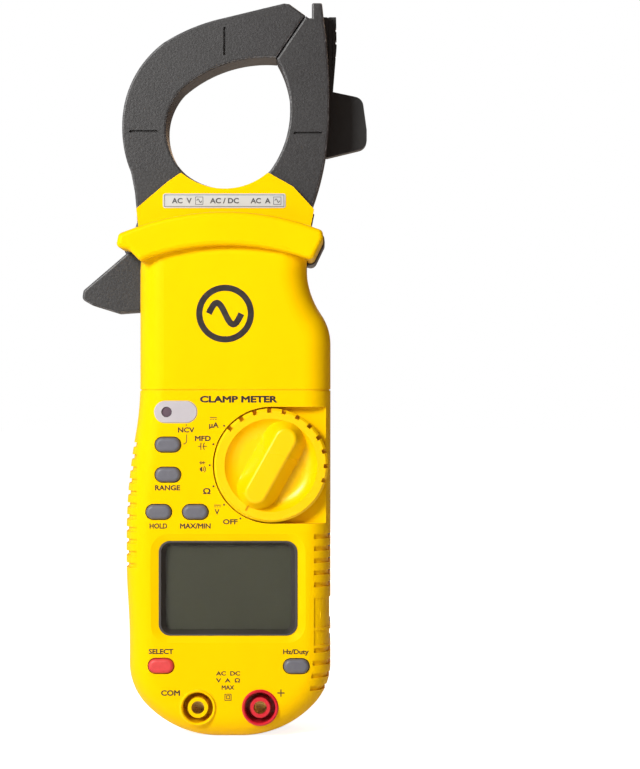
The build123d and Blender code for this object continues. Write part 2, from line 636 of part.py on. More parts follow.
with BuildPart() as dial_wiper:
    disc(DIAL_X, DIAL_Z, 10.5, ROTOR_BACK_Y + 0.4, ROTOR_BACK_Y)
    disc(DIAL_X, DIAL_Z, 7.5, 0, PANEL_Y, mode=Mode.SUBTRACT)
    for angle in (30, 150, 270):
        disc(DIAL_X + 9 * cos(radians(angle)), DIAL_Z + 9 * sin(radians(angle)), 0.8,
             BOARD_FRONT_Y - 0.15, ROTOR_BACK_Y)
finish(dial_wiper, "dial_wiper")

# ---------------------------------------------------------------- jaws


def ring(side, inset):
    """The jaws' outline drawn in by inset but running through the jaw faces, on one side of them."""
    with BuildSketch() as grown:
        add(window.sketch)
        offset(amount=inset, mode=Mode.REPLACE)
    with BuildSketch() as outer:
        add(jaw_outer.sketch)
        offset(amount=-inset, kind=Kind.INTERSECTION, mode=Mode.REPLACE)
    with BuildSketch() as band:
        add(outer.sketch)
        add(grown.sketch, mode=Mode.SUBTRACT)
        add(beside_split(side, JAW_GAP), mode=Mode.INTERSECT)
        with Locations((PIVOT_X, PIVOT_Z)):
            Circle(HUB_R + 0.9, mode=Mode.SUBTRACT)
        with Locations((0, ROOT_Z / 2)):
            Rectangle(120, ROOT_Z, mode=Mode.SUBTRACT)
    return band.sketch


TICK_W = 0.8
TICK_DEPTH = 0.9
TICKS = {
    "moving": [(-1.9, 215.7, 8.9, 90), (-27.2, 187.5, 8.9, 0)],
    "fixed": [(24.0, 187.0, 8.9, 0)],
}


def jaw_shell(outline, side, ticks):
    """Front half shell of a jaw: a tray with a wall all round, let in where the core passes."""
    with BuildSketch() as blank:
        add(outline)
        if side == 1:
            add(jaw_post.sketch)
    with BuildPart() as shell:
        slab(blank.sketch, 0, -JAW_Y)
        fillet(front_faces(shell).edges(), radius=0.7)
        slab(outline, 0, -JAW_Y + JAW_SKIN, inset=JAW_SKIN, mode=Mode.SUBTRACT)
        slab(ring(side, CORE_INSET), 0, -CORE_Y, mode=Mode.SUBTRACT)
        for x, z, length, turn in ticks:
            pill(x, z, length, TICK_W, -JAW_Y + TICK_DEPTH, -JAW_Y, mode=Mode.SUBTRACT, turn=turn)
    return shell.part


COIL_ZONES = {"moving": (-30, 192, 30, 34), "fixed": (26, 193, 26, 24)}
for name, outline, side in (("moving", moving_jaw.sketch, -1), ("fixed", fixed_jaw.sketch, 1)):
    front_shell = jaw_shell(outline, side, TICKS[name])
    rear_shell = mirror(jaw_shell(outline, side, []), about=Plane.XZ)
    with BuildPart() as shell_front:
        add(front_shell)
        if name == "moving":
            disc(PIVOT_X, PIVOT_Z, PIVOT_R + 0.06, 0, -JAW_Y, mode=Mode.SUBTRACT)
            slab(lever.sketch, 0, -LEVER_Y, inset=-0.05, mode=Mode.SUBTRACT)
        else:
            for x in JAW_BOSS_X:
                disc(x, JAW_BOSS_Z, JAW_BOSS_R + 0.8, 0, -JAW_Y + 0.5)
                disc(x, JAW_BOSS_Z, JAW_BOSS_R, 0, -JAW_Y, mode=Mode.SUBTRACT)
    finish(shell_front, f"{name}_jaw_front")
    with BuildPart() as shell_rear:
        add(rear_shell)
        if name == "moving":
            disc(PIVOT_X, PIVOT_Z, PIVOT_R + 0.06, JAW_Y, 0, mode=Mode.SUBTRACT)
            slab(lever.sketch, LEVER_Y, 0, inset=-0.05, mode=Mode.SUBTRACT)
        else:
            for x in JAW_BOSS_X:
                disc(x, JAW_BOSS_Z, JAW_BOSS_R + 0.8, JAW_Y - 0.5, 0)
                disc(x, JAW_BOSS_Z, JAW_BOSS_R, JAW_Y, 0, mode=Mode.SUBTRACT)
            disc(HOLDER_SCREW_X, HOLDER_SCREW_Z, SCREW_R, JAW_Y, 0, mode=Mode.SUBTRACT)
    finish(shell_rear, f"{name}_jaw_rear")
    with BuildPart() as core:
        slab(ring(side, CORE_INSET), CORE_Y, -CORE_Y)
    finish(core, f"{name}_core")
    zone_x, zone_z, zone_w, zone_h = COIL_ZONES[name]
    with BuildPart() as winding:
        slab(ring(side, JAW_SKIN + 0.3), CORE_Y + 1.6, -CORE_Y - 1.6)
        plate(zone_x, zone_z, zone_w, zone_h, CORE_Y + 1.6, -CORE_Y - 1.6, mode=Mode.INTERSECT)
        slab(ring(side, CORE_INSET), CORE_Y, -CORE_Y, mode=Mode.SUBTRACT)
    finish(winding, f"{name}_coil")

with BuildPart() as trigger_lever:
    slab(lever_arm.sketch, LEVER_Y, -LEVER_Y)
    fillet(trigger_lever.faces().filter_by(Axis.Y).edges(), radius=0.8)
    disc(PIVOT_X, PIVOT_Z, HUB_R - JAW_SKIN - 0.1, LEVER_Y, -LEVER_Y)
    disc(PIVOT_X, PIVOT_Z, PIVOT_R + 0.06, JAW_Y, -JAW_Y, mode=Mode.SUBTRACT)
    disc(PIVOT_X, PIVOT_Z, SPRING_ROOM_R, SPRING_ROOM_Y, -SPRING_ROOM_Y, mode=Mode.SUBTRACT)
finish(trigger_lever, "trigger_lever")

with BuildPart() as pivot_pin:
    disc(PIVOT_X, PIVOT_Z, PIVOT_R, PIN_Y, -PIN_Y)
finish(pivot_pin, "pivot_pin")

# the sensing plate of the voltage detector lies under the fixed jaw's front face
with BuildPart() as ncv_antenna:
    with BuildSketch(facing(-JAW_Y + JAW_SKIN + 0.5)) as antenna_plate:
        with BuildLine():
            Polyline((19.5, 212.0), (24.4, 219.5), (26.6, 219.5), (27.3, 212.0), close=True)
        make_face()
    extrude(amount=0.5)
finish(ncv_antenna, "ncv_antenna")

with BuildSketch() as holder_profile:
    with BuildLine():
        Polyline((25.0, 182.5), (30.0, 181.1), (42.8, 184.2), (42.8, 190.0), (41.4, 200.1), (32.0, 202.1),
                 (33.2, 216.8), (33.0, 226.0), (28.4, 226.0), (25.0, 200.0), close=True)
    make_face()
    fillet(holder_profile.vertices().filter_by(lambda v: v.X > 41 and abs(v.Y - 190) > 3), radius=3.2)
with BuildPart() as probe_holder:
    slab(holder_profile.sketch, HOLDER_BACK_Y, JAW_Y)
    with BuildSketch(Plane.XY.offset(204)) as groove:
        with Locations((30.6, HOLDER_BACK_Y)):
            Circle(1.9)
    extrude(amount=30, mode=Mode.SUBTRACT)
    for x, z in ((30.4, 218.0), (31.7, 217.0)):
        plate(x, z, 0.5, 16.5, JAW_Y + 0.8, JAW_Y, mode=Mode.SUBTRACT)
    for z in (209.0, 213.5, 218.0, 222.0):
        disc(33.6, z, 0.9, HOLDER_BACK_Y, JAW_Y, mode=Mode.SUBTRACT)
    disc(HOLDER_SCREW_X, HOLDER_SCREW_Z, SCREW_R, HOLDER_BACK_Y, JAW_Y, mode=Mode.SUBTRACT)
    disc(HOLDER_SCREW_X, HOLDER_SCREW_Z, HEAD_R, HOLDER_BACK_Y, HOLDER_BACK_Y - 2, mode=Mode.SUBTRACT)
finish(probe_holder, "probe_holder")

with BuildPart() as probe_holder_screw:
    screw(HOLDER_SCREW_X, HOLDER_SCREW_Z, HOLDER_BACK_Y - 0.3, 1.7, JAW_Y - JAW_SKIN + 0.2)
finish(probe_holder_screw, "probe_holder_screw")

with BuildPart() as jaw_coil_spring:
    with BuildLine() as jaw_wire:
        Helix(pitch=1.15, height=5.75, radius=3.6)
    with BuildSketch(Plane(origin=jaw_wire.line @ 0, z_dir=jaw_wire.line % 0)):
        Circle(0.42)
    sweep(path=jaw_wire.line, is_frenet=True)

with BuildPart() as jaw_spring:
    with Locations(Location((PIVOT_X, 2.875, PIVOT_Z), (90, 0, 0))):
        add(jaw_coil_spring.part)
finish(jaw_spring, "jaw_spring")
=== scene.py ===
import json
from math import cos, pi, radians, sin

import bmesh
import bpy
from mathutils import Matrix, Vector
from mathutils.bvhtree import BVHTree


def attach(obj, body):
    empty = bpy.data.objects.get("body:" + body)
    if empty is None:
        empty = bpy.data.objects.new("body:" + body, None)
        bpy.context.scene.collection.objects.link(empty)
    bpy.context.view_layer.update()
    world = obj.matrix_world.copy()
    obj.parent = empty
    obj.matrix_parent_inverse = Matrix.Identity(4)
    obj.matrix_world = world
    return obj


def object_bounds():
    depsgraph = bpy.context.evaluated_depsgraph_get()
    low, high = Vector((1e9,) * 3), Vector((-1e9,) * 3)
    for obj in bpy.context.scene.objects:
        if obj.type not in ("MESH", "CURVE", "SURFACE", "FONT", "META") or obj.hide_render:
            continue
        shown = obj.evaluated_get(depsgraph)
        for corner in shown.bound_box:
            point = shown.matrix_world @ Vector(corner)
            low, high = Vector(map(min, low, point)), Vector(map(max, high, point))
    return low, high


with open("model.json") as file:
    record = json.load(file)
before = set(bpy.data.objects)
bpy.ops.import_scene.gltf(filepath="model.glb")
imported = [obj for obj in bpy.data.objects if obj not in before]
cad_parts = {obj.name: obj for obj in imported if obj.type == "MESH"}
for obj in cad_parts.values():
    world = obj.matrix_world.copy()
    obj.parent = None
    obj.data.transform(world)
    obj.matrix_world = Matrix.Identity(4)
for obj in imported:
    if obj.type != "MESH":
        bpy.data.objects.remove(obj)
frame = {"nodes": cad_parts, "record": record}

cad_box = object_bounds()

# ---------------------------------------------------------------- driving dimensions, metres
MM = 0.001
PANEL_Y = -19.0 * MM
CAMERA_DISTANCE = 600.0 * MM      # from the front panel
CAMERA_X = 27.85 * MM
CAMERA_Z = 108.6 * MM
VIEW_HEIGHT = 235.3 * MM          # height of the picture at the front panel
SENSOR = 36.0                     # width of the camera's sensor, millimetres

# ---------------------------------------------------------------- studio
AIM = (0, 0, 0.11)                # what the lamps point at, about half way up the meter
AMBIENT_LEFT = 0.47               # strength of the studio's even light from the left
AMBIENT_RIGHT = 0.09
AMBIENT_TURN = (-1.0, 0.5)        # where it starts and ends changing, along X of the direction
WARM = (1.0, 0.45, 0.2)           # light thrown back by a tan surface on the right
LAMPS = {                         # place, size, watts and colour
    "key": ((-0.5, -0.78, 0.52), (0.3, 0.3), 11.8, (1.0, 0.99, 0.96)),
    "fill": ((0.5, -0.8, 0.2), (0.5, 0.6), 0.3, WARM),
    "back": ((0.2, 0.8, 0.6), (0.5, 0.5), 3.0, (1.0, 0.7, 0.45)),
}
FLOOR_RADIUS = 4.0
FLOOR_GLOW = 0.86                 # keeps the floor as bright as the backdrop where the camera sees it

# ---------------------------------------------------------------- materials and print
MIX_A, MIX_B, MIX_RESULT = 6, 7, 2    # the colour sockets of a mix node, which share their names
EDGE_RADIUS = 0.5 * MM            # how far rubbing reaches from a sharp edge
INK_LIFT = 0.03 * MM              # print stands this far off the plastic
INK_THICK = 0.02 * MM

# sizes and places of the artwork are in millimetres
CAP = 1.62                        # height of the small capitals
SMALL_CAP = 1.35
LABEL_CAP = 1.7
HAIR, FINE, THIN, BOLD = 0.16, 0.22, 0.24, 0.36     # widths of the printed lines, thinnest first
DIAL_X, DIAL_Z = 12.9, 83.9
DOT_RING = 18.8                   # radius of the ring of dots round the dial
FIRST_POSITION = 140              # degrees from +X to the dot at the upper left
DIAL_STEP = 20                    # degrees from one dot to the next, down to OFF
POSITIONS = 6                     # OFF and five functions
EMBLEM_X, EMBLEM_Z = -1.2, 130.3
EMBLEM_LINE = 1.9
LABEL_X, LABEL_Z = -1.85, 165.6   # middle of the strip on the collar
RATINGS_X = -0.3


# ---------------------------------------------------------------- camera, lights and floor
def make_camera():
    data = bpy.data.cameras.new("camera")
    data.sensor_width = SENSOR
    data.lens = SENSOR * CAMERA_DISTANCE / VIEW_HEIGHT
    camera = bpy.data.objects.new("camera", data)
    camera.location = (CAMERA_X, PANEL_Y - CAMERA_DISTANCE, CAMERA_Z)
    camera.rotation_euler = (pi / 2, 0, 0)
    bpy.context.collection.objects.link(camera)
    bpy.context.scene.camera = camera


def make_area_light(name, place, size, power, colour):
    data = bpy.data.lights.new(name, "AREA")
    data.shape = "RECTANGLE"
    data.size, data.size_y = size
    data.energy = power
    data.color = colour
    light = bpy.data.objects.new(name, data)
    light.location = place
    light.rotation_euler = (Vector(AIM) - Vector(place)).to_track_quat("-Z", "Y").to_euler()
    bpy.context.collection.objects.link(light)


def make_backdrop(world):
    """White where the camera sees it; as light, it falls off and warms from left to right."""
    world.use_nodes = True
    tree = world.node_tree
    coords = tree.nodes.new("ShaderNodeTexCoord")
    direction = tree.nodes.new("ShaderNodeSeparateXYZ")
    tree.links.new(coords.outputs["Generated"], direction.inputs["Vector"])
    around = tree.nodes.new("ShaderNodeMapRange")
    around.data_type = "FLOAT_VECTOR"
    from_min, from_max, to_min, to_max = list(around.inputs)[7:11]      # its vector sockets
    from_min.default_value = [AMBIENT_TURN[0]] * 3
    from_max.default_value = [AMBIENT_TURN[1]] * 3
    to_min.default_value = [AMBIENT_LEFT] * 3
    to_max.default_value = [AMBIENT_RIGHT * part for part in WARM]
    tree.links.new(direction.outputs["X"], around.inputs["Vector"])
    seen = tree.nodes.new("ShaderNodeMix")
    seen.data_type = "RGBA"
    camera_ray = tree.nodes.new("ShaderNodeLightPath").outputs["Is Camera Ray"]
    tree.links.new(camera_ray, seen.inputs["Factor"])
    tree.links.new(around.outputs["Vector"], seen.inputs[MIX_A])
    seen.inputs[MIX_B].default_value = (1.0, 1.0, 1.0, 1.0)
    tree.links.new(seen.outputs[MIX_RESULT], tree.nodes["Background"].inputs["Color"])


def make_studio():
    world = bpy.data.worlds.new("studio")
    bpy.context.scene.world = world
    make_backdrop(world)
    for name, lamp in LAMPS.items():
        make_area_light(name, *lamp)
    bpy.context.scene.view_settings.view_transform = "Standard"


def make_floor():
    mesh = bpy.data.meshes.new("floor")
    maker = bmesh.new()
    bmesh.ops.create_circle(maker, cap_ends=True, segments=96, radius=FLOOR_RADIUS)
    maker.to_mesh(mesh)
    maker.free()
    floor = bpy.data.objects.new("floor", mesh)
    floor.location = (0, 0, cad_box[0].z)
    bpy.context.collection.objects.link(floor)
    graph = Graph("pale_floor")
    grain = graph.noise(scale=40.0, detail=3.0)
    tint = graph.mix_colour(graph.ramp(grain, (0.35, 0.7)), (0.84, 0.84, 0.84), (0.87, 0.87, 0.87))
    shader = graph.surface(tint, roughness=0.7, emission_color=(1.0, 1.0, 1.0, 1.0))
    seen = graph.node("ShaderNodeLightPath").outputs["Is Camera Ray"]
    graph.link(graph.math("MULTIPLY", seen, FLOOR_GLOW), shader.inputs["Emission Strength"])
    floor.data.materials.append(graph.material)


# ---------------------------------------------------------------- material building blocks
class Graph:
    """A material's node tree, with one short call for each kind of node."""

    def __init__(self, name):
        self.material = bpy.data.materials.new(name)
        self.material.use_nodes = True
        self.tree = self.material.node_tree
        self.tree.nodes.clear()
        self.coords = self.tree.nodes.new("ShaderNodeTexCoord").outputs["Object"]

    def node(self, kind, **settings):
        made = self.tree.nodes.new(kind)
        for key, value in settings.items():
            setattr(made, key, value)
        return made

    def link(self, source, socket):
        if isinstance(source, bpy.types.NodeSocket):
            self.tree.links.new(source, socket)
        else:
            socket.default_value = source

    def paint(self, colour, socket):
        """Link or set a colour socket; a plain colour has no alpha."""
        self.link(colour if isinstance(colour, bpy.types.NodeSocket) else (*colour, 1.0), socket)

    def stretch(self, scale):
        """Object coordinates scaled differently along each axis."""
        mapping = self.node("ShaderNodeMapping")
        self.link(self.coords, mapping.inputs["Vector"])
        mapping.inputs["Scale"].default_value = scale
        return mapping.outputs["Vector"]

    def noise(self, scale, detail=2.0, roughness=0.5, vector=None):
        made = self.node("ShaderNodeTexNoise")
        self.link(vector or self.coords, made.inputs["Vector"])
        made.inputs["Scale"].default_value = scale
        made.inputs["Detail"].default_value = detail
        made.inputs["Roughness"].default_value = roughness
        return made.outputs["Fac"]

    def ramp(self, value, span, to=(0.0, 1.0)):
        made = self.node("ShaderNodeMapRange", interpolation_type="SMOOTHSTEP")
        self.link(value, made.inputs["Value"])
        made.inputs["From Min"].default_value = span[0]
        made.inputs["From Max"].default_value = span[1]
        made.inputs["To Min"].default_value = to[0]
        made.inputs["To Max"].default_value = to[1]
        return made.outputs["Result"]

    def math(self, operation, a, b=0.0):
        made = self.node("ShaderNodeMath", operation=operation)
        self.link(a, made.inputs[0])
        self.link(b, made.inputs[1])
        return made.outputs[0]

    def mix_colour(self, factor, a, b):
        made = self.node("ShaderNodeMix", data_type="RGBA")
        self.link(factor, made.inputs["Factor"])
        self.paint(a, made.inputs[MIX_A])
        self.paint(b, made.inputs[MIX_B])
        return made.outputs[MIX_RESULT]

    def edges(self):
        """1 beside sharp edges, 0 elsewhere."""
        rounded = self.node("ShaderNodeBevel", samples=4)
        rounded.inputs["Radius"].default_value = EDGE_RADIUS
        compare = self.node("ShaderNodeVectorMath", operation="DOT_PRODUCT")
        self.link(rounded.outputs["Normal"], compare.inputs[0])
        self.link(self.node("ShaderNodeNewGeometry").outputs["Normal"], compare.inputs[1])
        return self.ramp(compare.outputs["Value"], (0.995, 0.85))

    def rounded_rims(self):
        """1 on the rounded rims between faces that look to the front or back and the sides."""
        parts = self.node("ShaderNodeSeparateXYZ")
        self.link(self.node("ShaderNodeNewGeometry").outputs["Normal"], parts.inputs["Vector"])
        tilt = self.math("ABSOLUTE", parts.outputs["Y"])
        return self.math("MULTIPLY", self.ramp(tilt, (0.25, 0.5)), self.ramp(tilt, (0.97, 0.85)))

    def bump(self, height, distance, strength=1.0, under=None):
        made = self.node("ShaderNodeBump")
        self.link(height, made.inputs["Height"])
        made.inputs["Distance"].default_value = distance
        made.inputs["Strength"].default_value = strength
        if under is not None:
            self.link(under, made.inputs["Normal"])
        return made.outputs["Normal"]

    def surface(self, colour, roughness=0.5, metallic=0.0, normal=None, **sockets):
        shader = self.node("ShaderNodeBsdfPrincipled")
        self.paint(colour, shader.inputs["Base Color"])
        self.link(roughness, shader.inputs["Roughness"])
        shader.inputs["Metallic"].default_value = metallic
        if normal is not None:
            self.link(normal, shader.inputs["Normal"])
        for name, value in sockets.items():
            shader.inputs[name.replace("_", " ").title().replace("Ior", "IOR")].default_value = value
        out = self.node("ShaderNodeOutputMaterial")
        self.link(shader.outputs["BSDF"], out.inputs["Surface"])
        return shader


def moulded_plastic(name, base, shade, grain=2600.0, grain_depth=0.012 * MM, gloss=(0.34, 0.46),
                    edge_wear_and_highlight=None, rims=0.0, speckle=0.0, **sockets):
    """Injection-moulded plastic: spark-eroded grain, faint flow mottling and slightly rubbed edges.

    The edge colour, if given, rubs the sharp edges; rims, if given, puts it on the rounded rims
    that much instead, where the lighter rims are a painted highlight along them as well as rubbing;
    speckle lightens fine pits by that share of the base colour.
    """
    graph = Graph(name)
    flow = graph.noise(scale=55.0, detail=3.0, vector=graph.stretch((1.0, 1.0, 0.35)))
    colour = graph.mix_colour(graph.ramp(flow, (0.3, 0.75)), base, shade)
    speck = graph.noise(scale=900.0, detail=2.0)
    colour = graph.mix_colour(graph.ramp(speck, (0.62, 0.8), (0.0, 0.35)), colour, shade)
    # rubbed edges; where rims are given, the lighter rims are also a painted highlight standing in for
    # light caught on rounded edges
    if edge_wear_and_highlight:
        scuffs = graph.noise(scale=260.0, detail=4.0, roughness=0.65)
        edge = graph.math("MULTIPLY", graph.rounded_rims(), rims) if rims else graph.edges()
        wear_and_highlight_mask = graph.math("MULTIPLY", edge, graph.ramp(scuffs, (0.38, 0.62), (0.35, 1.0)))
        colour = graph.mix_colour(wear_and_highlight_mask, colour, edge_wear_and_highlight)
    if speckle:
        pits = graph.noise(scale=1900.0, detail=5.0, roughness=0.75)
        light = tuple(c * (1 + speckle) for c in base)
        colour = graph.mix_colour(graph.ramp(pits, (0.42, 0.62)), colour, light)
    polish = graph.noise(scale=18.0, detail=4.0, roughness=0.6)
    fine = graph.noise(scale=grain, detail=3.0, roughness=0.6)
    waviness = graph.bump(graph.noise(scale=42.0, detail=1.0), 0.05 * MM, 0.35)
    normal = graph.bump(fine, grain_depth, 1.0, under=waviness)
    graph.surface(colour, graph.ramp(polish, (0.3, 0.7), gloss), normal=normal, **sockets)
    return graph.material


def metal(name, base, dark, rough=(0.22, 0.38), along=(1.0, 1.0, 30.0)):
    """Plated or turned metal with fine drawing lines and faint stains."""
    graph = Graph(name)
    lines = graph.noise(scale=420.0, detail=2.0, vector=graph.stretch(along))
    stain = graph.noise(scale=160.0, detail=4.0, roughness=0.6)
    colour = graph.mix_colour(graph.ramp(stain, (0.35, 0.75)), base, dark)
    normal = graph.bump(lines, 0.01 * MM, 0.6)
    graph.surface(colour, graph.ramp(lines, (0.2, 0.8), rough), metallic=1.0, normal=normal)
    return graph.material


def soft_key(name, base, shade):
    """Silicone key: matt and slightly mottled, its gloss varying with the mottling."""
    graph = Graph(name)
    mottle = graph.noise(scale=500.0, detail=3.0)
    colour = graph.mix_colour(graph.ramp(mottle, (0.35, 0.7)), base, shade)
    normal = graph.bump(graph.noise(scale=3200.0, detail=2.0), 0.01 * MM, 0.8)
    graph.surface(colour, graph.ramp(mottle, (0.3, 0.7), (0.38, 0.52)), normal=normal)
    return graph.material


def unlit_display(name):
    """Reflective liquid crystal cell with nothing showing, and a faint grain from its rear reflector."""
    graph = Graph(name)
    fog = graph.noise(scale=60.0, detail=1.0)
    grain = graph.noise(scale=1500.0, detail=2.0)
    colour = graph.mix_colour(graph.ramp(fog, (0.3, 0.7)), (0.064, 0.068, 0.036), (0.073, 0.078, 0.042))
    colour = graph.mix_colour(graph.ramp(grain, (0.4, 0.7), (0.0, 0.3)), colour, (0.082, 0.088, 0.048))
    graph.surface(colour, graph.ramp(grain, (0.3, 0.7), (0.27, 0.31)))
    return graph.material


def clear_window(name):
    """Clear hard-coated window with a few wipe marks."""
    graph = Graph(name)
    wipes = graph.noise(scale=90.0, detail=5.0, vector=graph.stretch((1.0, 1.0, 6.0)))
    tint = graph.mix_colour(graph.ramp(wipes, (0.45, 0.8)), (0.030, 0.032, 0.030), (0.045, 0.047, 0.044))
    graph.surface(tint, graph.ramp(wipes, (0.45, 0.8), (0.06, 0.14)), alpha=0.2)
    return graph.material


def case_materials():
    yellow = ((0.93, 0.575, 0.0), (0.92, 0.555, 0.0))
    return {
        "yellow_shell": moulded_plastic(
            "yellow_abs", *yellow, edge_wear_and_highlight=(0.95, 0.62, 0.01),
            specular_ior_level=0.2, specular_tint=(1.0, 0.78, 0.12, 1.0)),
        "yellow_knob": moulded_plastic(
            "yellow_knob_abs", *yellow, grain=3200.0, gloss=(0.24, 0.32),
            specular_ior_level=0.5, specular_tint=(1.0, 0.9, 0.45, 1.0)),
        "dark_shell": moulded_plastic(
            "dark_abs", (0.050, 0.050, 0.054), (0.040, 0.040, 0.043), edge_wear_and_highlight=(0.12, 0.12, 0.125)),
        # the jaws' lighter rims are a painted highlight along their rounded edges as well as rubbing
        "jaw_grey": moulded_plastic(
            "jaw_nylon", (0.0175, 0.0175, 0.019), (0.012, 0.012, 0.0135), grain=1300.0,
            grain_depth=0.07 * MM, gloss=(0.38, 0.48), edge_wear_and_highlight=(0.18, 0.18, 0.19), rims=0.9, speckle=0.7),
        "holder_black": moulded_plastic(
            "holder_nylon", (0.009, 0.009, 0.010), (0.006, 0.006, 0.007),
            gloss=(0.42, 0.55), edge_wear_and_highlight=(0.06, 0.06, 0.065)),
        "bezel_black": moulded_plastic(
            "bezel_gloss", (0.050, 0.045, 0.043), (0.040, 0.036, 0.034), grain=900.0,
            grain_depth=0.002 * MM, gloss=(0.08, 0.16)),
        "label_white": moulded_plastic(
            "label_film", (0.56, 0.59, 0.61), (0.52, 0.55, 0.57), grain=1200.0,
            grain_depth=0.002 * MM, gloss=(0.22, 0.32)),
        "button_grey": soft_key("key_grey", (0.125, 0.128, 0.155), (0.11, 0.113, 0.138)),
        "button_red": soft_key("key_red", (0.68, 0.052, 0.055), (0.61, 0.042, 0.045)),
        "jack_red": moulded_plastic(
            "jack_red_abs", (0.66, 0.012, 0.03), (0.55, 0.008, 0.02), gloss=(0.22, 0.34)),
        "ncv_diffuser": moulded_plastic(
            "milky_lens", (0.50, 0.48, 0.51), (0.46, 0.44, 0.48), grain=700.0,
            grain_depth=0.003 * MM, gloss=(0.18, 0.28)),
        "ncv_lamp": moulded_plastic(
            "dark_lamp", (0.14, 0.09, 0.12), (0.07, 0.05, 0.07), grain=2500.0, gloss=(0.15, 0.3)),
        "lcd_grey": unlit_display("unlit_display"),
        "lcd_glass": clear_window("display_window"),
    }


def inner_materials():
    return {
        "contact_brass": metal("turned_brass", (0.75, 0.52, 0.20), (0.55, 0.36, 0.12)),
        "can_metal": metal("polished_steel", (0.72, 0.72, 0.73), (0.6, 0.6, 0.6), rough=(0.15, 0.25)),
        "screw_steel": metal("zinc_plate", (0.50, 0.50, 0.50), (0.36, 0.36, 0.36), rough=(0.3, 0.45)),
        "spring_steel": metal("nickel_plate", (0.62, 0.60, 0.57), (0.5, 0.48, 0.45)),
        "core_steel": metal(
            "core_laminations", (0.36, 0.36, 0.38), (0.24, 0.24, 0.26), along=(1.0, 40.0, 1.0)),
        "coil_copper": metal(
            "enamelled_wire", (0.60, 0.22, 0.08), (0.42, 0.13, 0.05), along=(1.0, 1.0, 60.0)),
        "cell_wrap": moulded_plastic(
            "cell_jacket", (0.05, 0.05, 0.06), (0.16, 0.12, 0.03), gloss=(0.2, 0.3)),
        "board_green": moulded_plastic(
            "solder_mask", (0.01, 0.13, 0.05), (0.01, 0.09, 0.035), gloss=(0.2, 0.3)),
        "chip_black": moulded_plastic(
            "chip_epoxy", (0.02, 0.02, 0.02), (0.03, 0.03, 0.03), gloss=(0.4, 0.5)),
        "zebra_rubber": soft_key("elastomer", (0.22, 0.22, 0.23), (0.12, 0.12, 0.12)),
        "rotor_white": moulded_plastic(
            "acetal", (0.72, 0.72, 0.69), (0.66, 0.66, 0.62), gloss=(0.3, 0.4)),
    }


def dress_cad_nodes(materials):
    """Give every carried-over CAD node the finish of its slot."""
    for row in frame["record"]["subparts"]:
        node = frame["nodes"][row["node"]]
        for place in node.material_slots:
            place.material = materials[row["material_slot"]]


